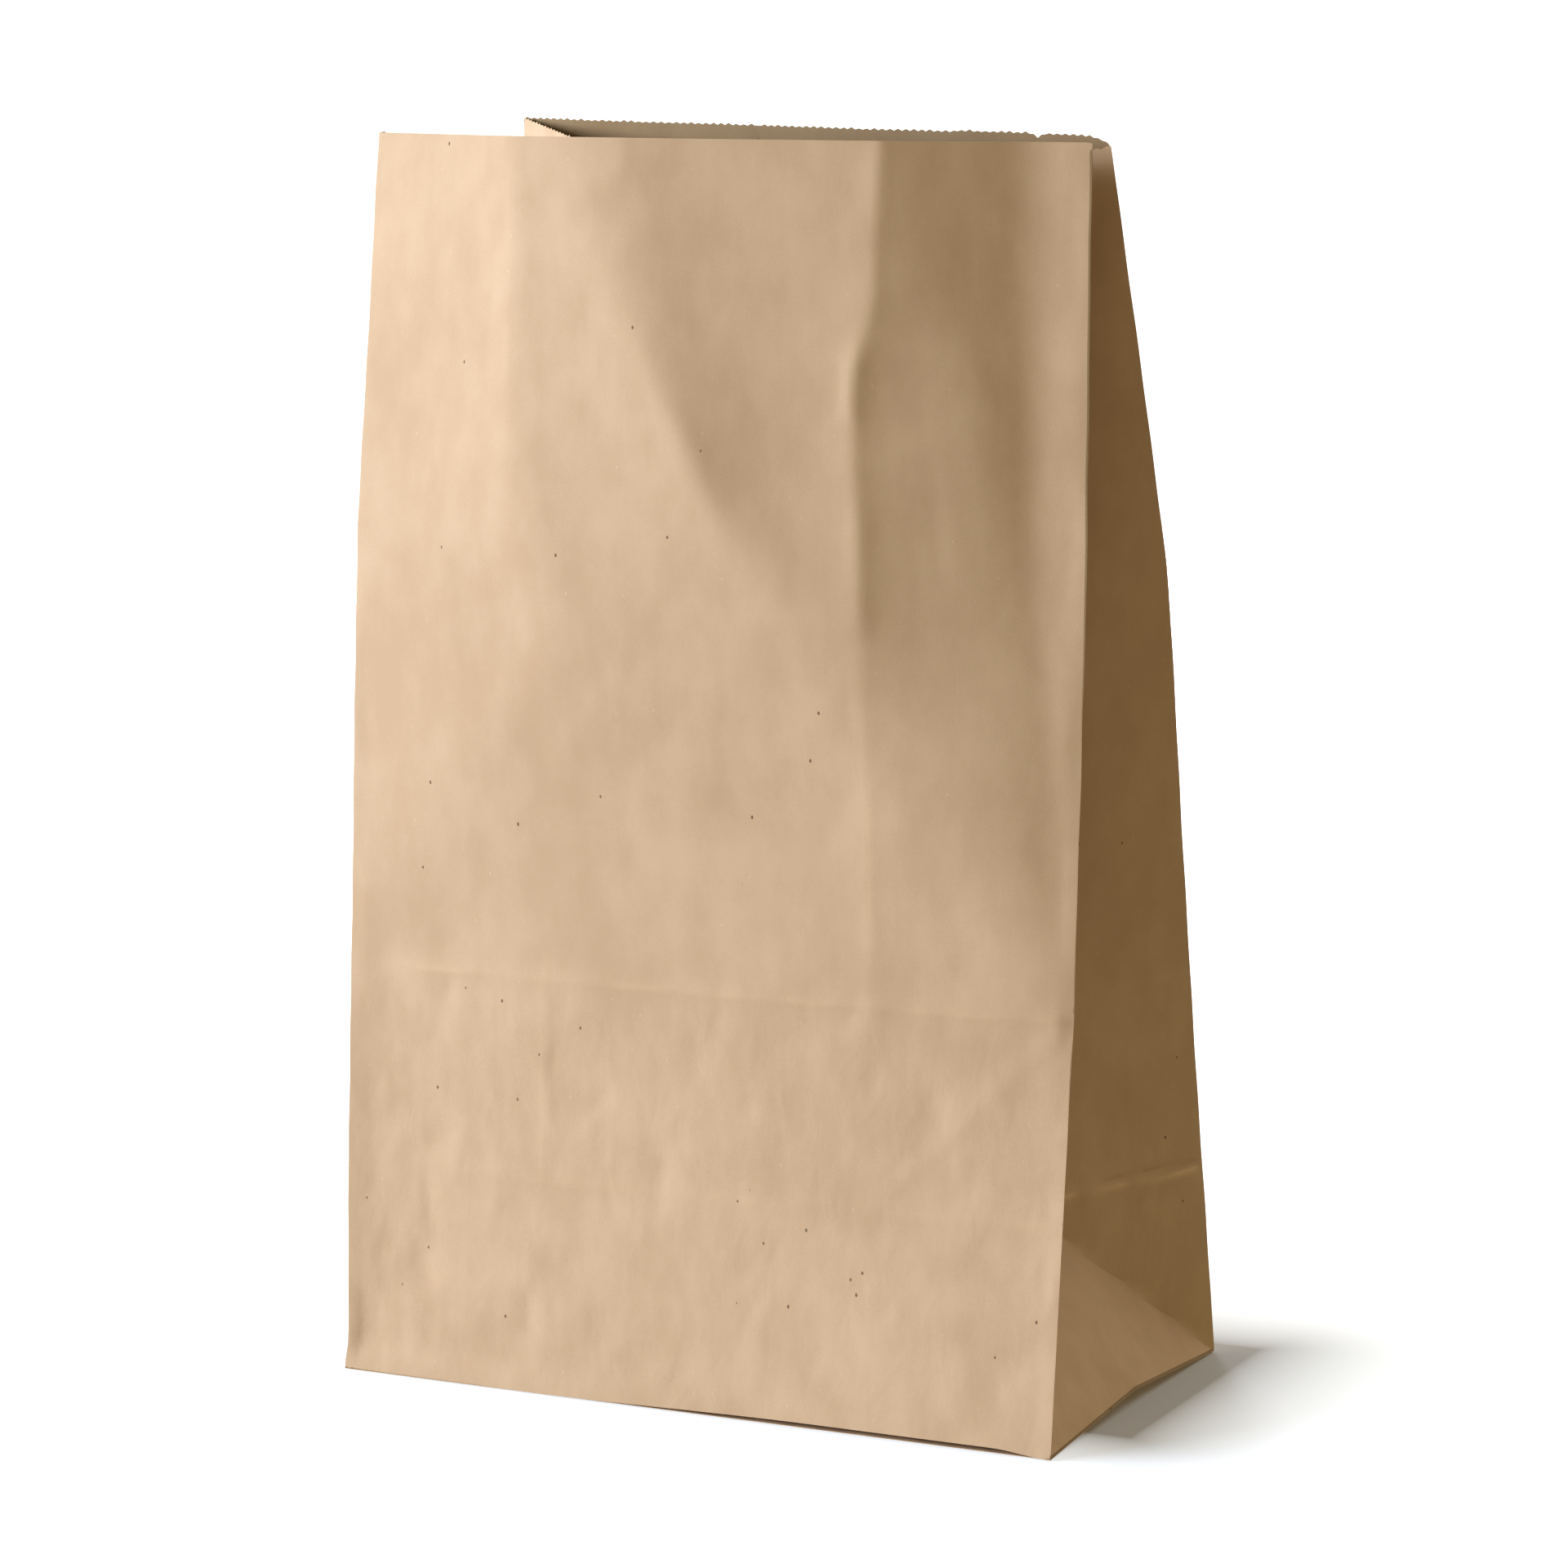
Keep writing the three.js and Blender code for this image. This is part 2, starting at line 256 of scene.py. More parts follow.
# The front panel between its two folds, bent as nearly as paper allows to the turns asked for
def frontSheet():
    across = np.linspace(0, panelWidth, frontTurns["columns"])
    height = np.arange(float(frontTurns["rows"]))
    turn = np.repeat(byHeight(height, frontTurns["leftEdge"])[:, None], len(across), axis=1)
    for bend in frontTurns["bends"]:
        place, width = byHeight(height, bend["path"]), byHeight(height, bend["width"])
        over = smooth((across - place[:, None]) / width[:, None] + 0.5)
        turn += byHeight(height, bend["turn"])[:, None] * over
    left, right = along("frontLeft", height), along("frontRight", height)
    share = across / panelWidth
    flat = left[:, None] + (right - left)[:, None] * share[:, None]
    stepAcross, stepUp = across[1] - across[0], height[1] - height[0]
    wanted = np.tan(np.radians((turn[:, 1:] + turn[:, :-1]) / 2))
    wanted = wanted - np.diff(flat[..., 1], axis=1) / stepAcross
    flat[..., 1] += settle(wanted, np.zeros(turn.shape), stepAcross, stepUp)
    run = np.sqrt(np.maximum(stepAcross**2 - np.diff(flat[..., 1], axis=1) ** 2, 0.01))
    run = np.concatenate([np.zeros((len(height), 1)), np.cumsum(run, axis=1)], axis=1)
    flat[..., 0] = left[:, :1] + (right - left)[:, :1] * run / run[:, -1:]
    lift = bag["frontLift"] * smooth((across - 50) / 70) * smooth((panelWidth - across) / 14)
    flat[..., 2] += lift * (1 - smooth(height / 40))[:, None]
    return flat


sheet = frontSheet()


def frontPoint(across, height):
    column = np.clip(across / panelWidth, 0, 1) * (sheet.shape[1] - 1)
    row = np.clip(height, 0, sheet.shape[0] - 1)
    i = np.minimum(row.astype(int), sheet.shape[0] - 2)
    k = np.minimum(column.astype(int), sheet.shape[1] - 2)
    up, over = (row - i)[..., None], (column - k)[..., None]
    lower = sheet[i, k] * (1 - over) + sheet[i, k + 1] * over
    upper = sheet[i + 1, k] * (1 - over) + sheet[i + 1, k + 1] * over
    return lower * (1 - up) + upper * up


def backPoint(across, height):
    t = (across / panelWidth)[..., None]
    return along("backRight", height) * (1 - t) + along("backLeft", height) * t


def pleatPoint(edge, centre, across, height):  # half a side pleat, two triangles below the knee
    over, up = (across / half)[..., None], (height / half)[..., None]
    upper = along(edge, height) * (1 - over) + along(centre, height) * over
    corner, kneePoint, vertex, foot = folds[edge][0], folds[edge][1], folds[centre][1], folds[centre][0]
    steep = corner + over * (vertex - kneePoint) + up * (kneePoint - corner)
    flat = corner + up * (vertex - foot) + over * (foot - corner)
    return np.where(up >= 1, upper, np.where(up >= over, steep, flat))


# Creases of the front panel: a path of (across, up), the height of the ridge, how far it spreads to the left
# and right of the path, and the lengths over which it fades in and out. The last figure paints the line pale
# for broken fibres, partly as a painted highlight, and below 0 paints it dark as painted shade.
frontCreases = [
    {
        "path": [(131.8, 292), (131, 252), (127.6, 236), (127.7, 220), (130, 176)],
        "rise": 0.4, "spread": (2.4, 5), "fade": (0, 8), "worn": 0.2,
    },
    {
        "path": [(127.4, 246), (126.6, 234), (127.1, 222)],
        "rise": 0.8, "spread": (2.6, 1.6), "fade": (9, 9), "worn": 0.5,
    },
    {
        "path": [(129, 178), (131, 140), (131.5, 84)],
        "rise": 0.24, "spread": (5, 1.6), "fade": (6, 14), "worn": 0.2,
    },
    {"path": [(47, 292), (46, 235), (48, 176)], "rise": 0.2, "spread": (3, 3), "fade": (0, 24)},
    {
        "path": [(8, 96.2), (93, 96.4), (178, 96)],
        "rise": 0.5, "spread": (1.6, 3), "fade": (12, 0), "worn": 0.22,
    },
    {"path": [(14, 50), (178, 50.5)], "rise": 0.2, "spread": (1.4, 1.8), "fade": (30, 4), "worn": 0.22},
    {"path": [(52, 94), (52, 48)], "rise": 0.28, "spread": (1.4, 1.8), "fade": (6, 10)},
    {"path": [(178, 96), (132, 50)], "rise": 0.22, "spread": (1.5, 1.7), "fade": (2, 8), "worn": 0.12},
    {"path": [(0, 96), (46, 50)], "rise": 0.14, "spread": (1.6, 1.6), "fade": (6, 12)},
    {"path": [(0, 7), (58, 6)], "rise": -0.8, "spread": (5, 3), "fade": (3, 30)},
    {"path": [(96, 180), (92, 120)], "rise": 0.3, "spread": (5, 7), "fade": (20, 20)},
    {"path": [(72, 215), (75, 165)], "rise": 0.35, "spread": (6, 8), "fade": (20, 20)},
]
backCreases = [  # across from the right-hand fold as the back is seen from inside
    {"path": [(0, 96), (90, 96.3), (178, 96)], "rise": 0.42, "spread": (1.8, 3), "fade": (4, 4), "worn": 0.3},
    {"path": [(4, 50.5), (174, 50)], "rise": 0.16, "spread": (1.5, 2), "fade": (20, 20), "worn": 0.15},
    {"path": [(0, 96), (46, 50)], "rise": 0.3, "spread": (1.5, 1.7), "fade": (4, 10)},
    {"path": [(178, 96), (132, 50)], "rise": 0.3, "spread": (1.5, 1.7), "fade": (4, 10)},
    {"path": [(51, 286), (50, 190), (51, 60)], "rise": 0.3, "spread": (2.6, 3.4), "fade": (20, 30)},
    {"path": [(127, 288), (128, 170), (127, 70)], "rise": 0.34, "spread": (3.4, 2.6), "fade": (20, 30)},
    {"path": [(20, 262), (58, 196), (72, 120)], "rise": 0.9, "spread": (12, 17), "fade": (40, 40)},
    {"path": [(160, 250), (132, 180), (120, 128)], "rise": 0.8, "spread": (15, 12), "fade": (40, 40)},
    {"path": [(104, 236), (92, 176)], "rise": -0.8, "spread": (16, 18), "fade": (30, 30)},
]
sideCreases = [  # across from the outer fold of a half pleat
    {"path": [(0, 96), (51, 96)], "rise": 0.45, "spread": (1.5, 2.4), "fade": (2, 4), "worn": 0.2},
    {"path": [(0, 47.5), (51, 52)], "rise": 0.65, "spread": (1.7, 3), "fade": (1, 4), "worn": 0.6},
    {"path": [(0, 49.5), (51, 54)], "rise": -0.15, "spread": (2, 2), "fade": (1, 4), "worn": -0.5},
]
wearAndShadingSpread = (0.8, 0.8)
swells = {"front": (0.25, 6), "back": (0.5, 6), "pleat": (0.2, 5)}  # size and number of waves
wrinkles = {
    "front": {
        "count": 150, "low": 0, "high": 88, "rise": 0.17,
        "spread": (1.4, 4), "length": (7, 26), "lean": 24,
    },
    "frontTop": {
        "count": 60, "low": 96, "high": 280, "rise": 0.16,
        "spread": (2.5, 8), "length": (14, 60), "lean": 25,
    },
    "back": {
        "count": 110, "low": 4, "high": 280, "rise": 0.2,
        "spread": (2.0, 7), "length": (10, 50), "lean": 30,
    },
    "pleat": {
        "count": 22, "low": 30, "high": 270, "rise": 0.12,
        "spread": (2.0, 6), "length": (10, 45), "lean": 25,
    },
}


def creaseRelief(across, height, path, rise, spread, fade):
    points = np.array(path, float)
    steps = np.diff(points, axis=0)
    lengths = np.linalg.norm(steps, axis=1)
    starts = np.concatenate([[0], np.cumsum(lengths)])
    nearest = np.full(across.shape, 1e9)
    side = np.zeros(across.shape)
    travel = np.zeros(across.shape)
    for k, (step, length) in enumerate(zip(steps, lengths)):
        du, dv = across - points[k, 0], height - points[k, 1]
        t = np.clip((du * step[0] + dv * step[1]) / length**2, 0, 1)
        away = np.hypot(du - t * step[0], dv - t * step[1])
        closer = away < nearest
        nearest = np.where(closer, away, nearest)
        side = np.where(closer, step[0] * dv - step[1] * du, side)
        travel = np.where(closer, starts[k] + t * length, travel)
    reach = np.where(side > 0, spread[0], spread[1])
    blunt = 0.35 * np.minimum(*spread)
    profile = np.exp(-(np.sqrt(nearest**2 + blunt**2) - blunt) / reach)
    fadeIn = smooth(travel / fade[0]) if fade[0] else 1
    fadeOut = smooth((starts[-1] - travel) / fade[1]) if fade[1] else 1
    return rise * profile * fadeIn * fadeOut


def creased(across, height, creases):  # relief of a list of creases, and how pale (wear, partly painted highlight) or dark (painted shade) they are painted
    relief, worn = np.zeros(across.shape), np.zeros(across.shape)
    for crease in creases:
        path, fade = crease["path"], crease["fade"]
        relief += creaseRelief(across, height, path, crease["rise"], crease["spread"], fade)
        if "worn" in crease:
            worn += creaseRelief(across, height, path, crease["worn"], wearAndShadingSpread, fade)
    return relief, worn


def wrinkleRelief(across, height, width, style):
    total = np.zeros(across.shape)
    for _ in range(style["count"]):
        u, v = rng.uniform(0, width), rng.uniform(style["low"], style["high"])
        lean = math.radians(rng.normal(0, style["lean"]))
        length = rng.uniform(*style["length"])
        end = (u + length * math.sin(lean), v + length * math.cos(lean))
        rise = style["rise"] * rng.normal(0, 1)
        spread = rng.uniform(*style["spread"], 2)
        total += creaseRelief(across, height, [(u, v), end], rise, spread, (length / 2.2, length / 2.2))
    return total


def swell(across, height, size, waves):  # slow waves in the sheet
    total = np.zeros(across.shape)
    for _ in range(waves):
        pitch = rng.uniform(45, 130)
        heading = rng.uniform(0, math.pi)
        phase = rng.uniform(0, 2 * math.pi)
        run = across * math.cos(heading) + height * math.sin(heading)
        total += np.cos(run * 2 * math.pi / pitch + phase)
    return total * size / math.sqrt(waves)


def edgeMask(across, width, margin=7.0):
    return smooth(across / margin) * smooth((width - across) / margin)


def frontRelief(across, height):
    total, worn = creased(across, height, frontCreases)
    total += swell(across, height, *swells["front"])
    total += wrinkleRelief(across, height, panelWidth, wrinkles["front"])
    total += wrinkleRelief(across, height, panelWidth, wrinkles["frontTop"])
    return total * edgeMask(across, panelWidth, 4.0) * smooth(height / 4), worn


def backRelief(across, height):
    total, worn = creased(across, height, backCreases)
    total += swell(across, height, *swells["back"])
    total += wrinkleRelief(across, height, panelWidth, wrinkles["back"])
    for edge in (lapStart, lapEnd):  # glue draws the paper a little along the lap
        total += creaseRelief(across, height, [(edge, 0), (edge, 296)], 0.16, (1.2, 2.4), (0, 0))
    return total * edgeMask(across, panelWidth) * smooth(height / 5), worn


def pleatRelief(across, height):
    total, worn = creased(across, height, sideCreases)
    total += swell(across, height, *swells["pleat"])
    total += wrinkleRelief(across, height, half, wrinkles["pleat"])
    return total * edgeMask(across, half, 4.0) * smooth((height - across) / 9), worn


def spaced(start, end, step):
    count = max(2, round(abs(end - start) / step))
    return list(np.linspace(start, end, count + 1)[:-1])


# Columns round the bag, counterclockwise from above, starting at the front left-hand fold
lapStart = bag["seamMiddle"] - bag["seamLap"] / 2
lapEnd = bag["seamMiddle"] + bag["seamLap"] / 2
lapStep = 0.06  # half the width of the step at each end of the lap
lapBand = 0.9  # closer columns beside the inner end
lapReach = 3.0  # the ply eases back over this width
backColumns = spaced(0, lapStart - lapStep, bag["sideStep"]) + [lapStart - lapStep]
backColumns += spaced(lapStart + lapStep, lapEnd - lapBand, bag["sideStep"])
backColumns += [lapEnd - lapBand, lapEnd - lapStep, lapEnd + lapStep]
backColumns += spaced(lapEnd + lapBand, panelWidth, bag["sideStep"])
halfRow = spaced(0, half, bag["sideStep"])
panels = [
    {"name": "front", "columns": spaced(0, panelWidth, bag["frontStep"])},
    {"name": "rightFront", "columns": halfRow},
    {"name": "rightBack", "columns": [half - u for u in halfRow]},
    {"name": "back", "columns": backColumns},
    {"name": "leftBack", "columns": halfRow},
    {"name": "leftFront", "columns": [half - u for u in halfRow]},
]
pleats = {
    "rightFront": ("frontRight", "pleatRight"),
    "rightBack": ("backRight", "pleatRight"),
    "leftBack": ("backLeft", "pleatLeft"),
    "leftFront": ("frontLeft", "pleatLeft"),
}


def panelSurface(name, across, height):
    if name == "front":
        return frontPoint(across, height)
    if name == "back":
        return backPoint(across, height)
    return pleatPoint(*pleats[name], across, height)


def mouthHeight(name, across):  # top of the sheet before the teeth are cut
    slantTop = backHeight + bag["lipSlant"] / 2
    if name == "front":
        return np.full(across.shape, frontHeight)
    if name == "back":
        dip = bag["cornerDip"] * np.exp(-across / bag["cornerDipWidth"])
        return slantTop - bag["lipSlant"] * across / panelWidth - dip
    if name.endswith("Front"):
        return np.full(across.shape, frontHeight)
    edgeTop = slantTop - (bag["cornerDip"] if name == "rightBack" else bag["lipSlant"])
    return edgeTop + (frontHeight - edgeTop) * across / half


def backNick(name, across):  # a nick and a small step in the back edge
    if name != "back":
        return np.zeros(across.shape)
    nick = np.clip(1 - np.abs(across - teeth["nick"]) / teeth["nickWidth"], 0, 1)
    return teeth["stepHeight"] * (across < teeth["step"]) - teeth["nickDepth"] * nick


# Rows: even up the sheet, closer together at the base and at the two level creases
def rowHeights():
    rows = list(np.arange(0, bag["bendHeight"], bag["rowStep"]))
    for level in (half, bag["creaseHeight"]):
        rows += [level + shift for shift in (-1.4, -0.6, 0, 0.6, 1.4)]
    rows = np.unique(np.round(rows, 3))
    keep = np.concatenate([[True], np.diff(rows) > 0.45])
    return np.concatenate([rows[keep], [bag["bendHeight"]]])


fixedRows = rowHeights()
topRows = max(2, round((frontHeight - bag["bendHeight"]) / bag["rowStep"]))
rowCount = len(fixedRows) + topRows


def facing(surface, across, height, flip):  # outward normal of the smooth sheet
    gap = 0.4
    du = surface(across + gap * flip, height) - surface(across - gap * flip, height)
    dv = surface(across, height + gap) - surface(across, height - gap)
    normal = np.cross(du, dv)
    return normal / np.linalg.norm(normal, axis=-1, keepdims=True)


grids, wearAndShadingGrids = [], []
for panel in panels:
    name = panel["name"]
    across = np.array(panel["columns"])
    flip = -1 if name in ("rightBack", "leftFront") else 1
    mouth = mouthHeight(name, across) + backNick(name, across)
    if name != "front":
        mouth = mouth - teeth["height"] / 2
    share = np.arange(1, topRows + 1) / topRows
    upper = bag["bendHeight"] + share[None, :] * (mouth[:, None] - bag["bendHeight"])
    height = np.concatenate([np.broadcast_to(fixedRows, (len(across), len(fixedRows))), upper], axis=1)
    wide = np.broadcast_to(across[:, None], height.shape)

    def surface(u, v, name=name):
        return panelSurface(name, u, v)

    point = surface(wide, height)
    limit = panelWidth if name in ("front", "back") else half
    inside = np.clip(wide, 0.5, limit - 0.5)
    normal = facing(surface, inside, np.maximum(height, 0.5), flip)
    relief, worn = {"front": frontRelief, "back": backRelief}.get(name, pleatRelief)(wide, height)
    grids.append(point + normal * relief[..., None])
    wearAndShadingGrids.append(worn)
ring = np.concatenate(grids)
columnCount = len(ring)
print("sheet laid out:", columnCount, "columns by", rowCount, "rows")

inner = np.full(columnCount, bag["ply"] / 2)
outer = np.full(columnCount, bag["ply"] / 2)
backFirst = sum(len(panel["columns"]) for panel in panels[:3])
for k, u in enumerate(backColumns):  # one end of the sheet lies inside the other at the lap
    if lapStart - lapReach < u < lapEnd:
        inner[backFirst + k] = bag["ply"]
    if lapStart < u < lapEnd + lapReach:
        outer[backFirst + k] = bag["ply"]
    if lapStart - lapReach < u < lapStart:
        outer[backFirst + k] = 0
    if lapEnd < u < lapEnd + lapReach:
        inner[backFirst + k] = 0

# Faces of the middle surface: the tube, then the base as a fan from the tip of each end triangle
vertices = ring.reshape(-1, 3)
tips = {1: len(vertices), -1: len(vertices) + 1}
tipX = panelWidth / 2 - half
vertices = np.vstack([vertices, [[tipX, 0, baseLevel], [-tipX, 0, baseLevel]]])
plyIn = np.concatenate([np.repeat(inner, rowCount), [bag["ply"] / 2] * 2])
plyOut = np.concatenate([np.repeat(outer, rowCount), [bag["ply"] / 2] * 2])
panelOf = np.concatenate([[k] * len(panel["columns"]) for k, panel in enumerate(panels)])
peakOf = {}
peaks = []
for i in range(columnCount):  # one cut tooth to a column, none on the front
    if panelOf[i] != 0:
        a, b = ring[i, -1], ring[(i + 1) % columnCount, -1]
        size = teeth["height"] * rng.uniform(0.6, 1.25) * min(1, np.linalg.norm(b - a) / bag["sideStep"])
        peakOf[i] = len(vertices) + len(peaks)
        peaks.append((a + b) / 2 + np.array([0, 0, size]))
vertices = np.vstack([vertices, peaks])
plyIn = np.concatenate([plyIn, [bag["ply"] / 2] * len(peaks)])
plyOut = np.concatenate([plyOut, [bag["ply"] / 2] * len(peaks)])
ends = np.where(ring[:, 0, 0] < 0, -1, 1)
faces = []
for i in range(columnCount):
    n = (i + 1) % columnCount
    a, b = i * rowCount, n * rowCount
    falling = panelOf[i] in (2, 5)
    pleated = panelOf[i] not in (0, 3)
    for j in range(rowCount - 1):
        corners = (a + j, b + j, b + j + 1, a + j + 1)
        if pleated and fixedRows[min(j, len(fixedRows) - 1)] < half:  # follow the 45 degree folds
            p, q, r, s = corners
            faces += [(p, q, s), (q, r, s)] if falling else [(p, q, r), (p, r, s)]
        elif j == rowCount - 2 and i in peakOf:
            faces.append(corners[:3] + (peakOf[i],) + corners[3:])
        else:
            faces.append(corners)
    faces.append((b, a, tips[ends[i]]))
    if ends[n] != ends[i]:
        faces.append((b, tips[ends[i]], tips[ends[n]]))


def pointNormals(points, polygons):
    total = np.zeros(points.shape)
    triangles = np.array([(f[0], f[k], f[k + 1]) for f in polygons for k in range(1, len(f) - 1)])
    corners = points[triangles]
    cross = np.cross(corners[:, 1] - corners[:, 0], corners[:, 2] - corners[:, 0])
    for k in range(3):
        np.add.at(total, triangles[:, k], cross)
    return total / np.maximum(np.linalg.norm(total, axis=1, keepdims=True), 1e-12)


normals = pointNormals(vertices, faces)
outside = vertices + normals * plyOut[:, None]
insideSkin = vertices - normals * plyIn[:, None]
under = len(vertices)
shellFaces = faces + [tuple(under + k for k in reversed(face)) for face in faces]
for i in range(columnCount):  # cut edge round the mouth
    edge = [i * rowCount + rowCount - 1, ((i + 1) % columnCount) * rowCount + rowCount - 1]
    if i in peakOf:
        edge.insert(1, peakOf[i])
    shellFaces += [(a, b, under + b, under + a) for a, b in zip(edge, edge[1:])]
allPoints = [outside, insideSkin]

# Bottom flaps: both fold in under the sheet, and the one from the back lies outermost
flaps = {"margin": 0.6, "lap": 22.0}


def addFlap(points, low, high):
    first = sum(len(block) for block in allPoints)
    count = len(points)
    allPoints.append(np.array([(x, y, z) for z in (low, high) for x, y in points]))
    shellFaces.append(tuple(first + k for k in reversed(range(count))))
    shellFaces.append(tuple(first + count + k for k in range(count)))
    for k in range(count):
        n = (k + 1) % count
        shellFaces.append((first + k, first + n, first + count + n, first + count + k))


flapX, flapY = panelWidth / 2 - flaps["margin"], half - flaps["margin"]
freeY = flaps["lap"] / 2
freeX = tipX - freeY
frontFlap = [(-flapX, -flapY), (flapX, -flapY), (freeX, freeY), (-freeX, freeY)]
backFlap = [(-freeX, -freeY), (freeX, -freeY), (flapX, flapY), (-flapX, flapY)]
addFlap(frontFlap, bag["ply"], 2 * bag["ply"])
addFlap(backFlap, 0, bag["ply"])

pointCount = sum(len(block) for block in allPoints)
marks = {name: np.zeros(pointCount, np.float32) for name in ("inside", "worn")}
# inner skin, painted darker in the finish as shade
marks["inside"][under : 2 * under] = 1
marks["worn"][: columnCount * rowCount] = np.concatenate(wearAndShadingGrids).ravel()
for k, u in enumerate(backColumns):  # painted shadow: a dark line on the inner skin where the inner end of the sheet stops
    if abs(u - lapEnd) < 0.5:
        first = under + (backFirst + k) * rowCount
        marks["worn"][first : first + rowCount] = -1
mesh = bpy.data.meshes.new("paperBag")
mesh.from_pydata((np.vstack(allPoints) * mm).tolist(), [], shellFaces)
mesh.validate()
for name, values in marks.items():
    mesh.attributes.new(name, "FLOAT", "POINT").data.foreach_set("value", values)
mesh.shade_smooth()
mesh.set_sharp_from_angle(angle=math.radians(bag["foldSharpness"]))
paperBag = bpy.data.objects.new("paperBag", mesh)
bpy.context.scene.collection.objects.link(paperBag)
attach(paperBag, "root")
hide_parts(bag["node"])
print("bag meshed:", len(mesh.vertices), "points,", sum(len(f) - 2 for f in shellFaces), "triangles")


# Shader maths as expressions: a wire is a socket that can be added, taken away and multiplied
class Wire:
    def __init__(self, maker, socket):
        self.maker, self.socket = maker, socket

    def calc(self, operation, first, second):
        return self.maker.add("ShaderNodeMath", {"operation": operation}, {0: first, 1: second})

    def __add__(self, other):
        return self.calc("ADD", self, other)

    def __radd__(self, other):
        return self.calc("ADD", other, self)

    def __sub__(self, other):
        return self.calc("SUBTRACT", self, other)

    def __rsub__(self, other):
        return self.calc("SUBTRACT", other, self)

    def __mul__(self, other):
        return self.calc("MULTIPLY", self, other)

    def __rmul__(self, other):
        return self.calc("MULTIPLY", other, self)


class Finish:
    def __init__(self, name):
        self.material = bpy.data.materials.new(name)
        self.material.use_nodes = True
        self.tree = self.material.node_tree
        self.tree.nodes.clear()

    def add(self, kind, settings=None, values=None, output=0):
        node = self.tree.nodes.new(kind)
        for key, value in (settings or {}).items():
            if key == "stops":
                while len(node.color_ramp.elements) < len(value):
                    node.color_ramp.elements.new(0.5)
                for element, (place, colour) in zip(node.color_ramp.elements, value):
                    element.position, element.color = place, colour
            else:
                setattr(node, key, value)
        for key, value in (values or {}).items():
            if isinstance(value, Wire):
                self.tree.links.new(value.socket, node.inputs[key])
            else:
                node.inputs[key].default_value = value
        return Wire(self, node.outputs[output]) if len(node.outputs) else None


def ramp(value, low, high):  # smooth step from 0 at low to 1 at high
    limits = {"Value": value, "From Min": low, "From Max": high}
    return value.maker.add("ShaderNodeMapRange", {"interpolation_type": "SMOOTHSTEP"}, limits)


def blend(factor, first, second, how="MIX"):
    settings = {"data_type": "RGBA", "blend_type": how}
    return factor.maker.add("ShaderNodeMix", settings, {"Factor": factor, 6: first, 7: second}, output=2)


kraft = {
    "pale": (0.574, 0.438, 0.334, 1),
    "deep": (0.510, 0.378, 0.279, 1),
    "speck": (0.09, 0.055, 0.03, 1),
    "fleck": (0.70, 0.58, 0.45, 1),
    # crease colours: pale for wear, partly a painted highlight; dark for painted shade
    "worn": (0.80, 0.66, 0.50, 1),
    "paintedShade": (0.30, 0.20, 0.12, 1),
    "inside": (0.50, 0.48, 0.40, 1),  # painted shade: the inner side of the sheet is darkened to stand for the shade inside the bag
    "roughness": 0.84,
    "mottleScale": 120.0,
    "cloudScale": 28.0,
    "streakScale": 300.0,
    "grainScale": 2200.0,
    "cockleScale": 70.0,
    "wrinkleScale": 115.0,
    "patchScale": 65.0,
    "cockleRise": 0.42,
    "wrinkleRise": 0.16,
    "streakRise": 0.012,
    "grainRise": 0.016,
    "dots": (("speck", 150.0, 0.03, 0.6, 0.8), ("fleck", 300.0, 0.045, 0.7, 0.4)),
}


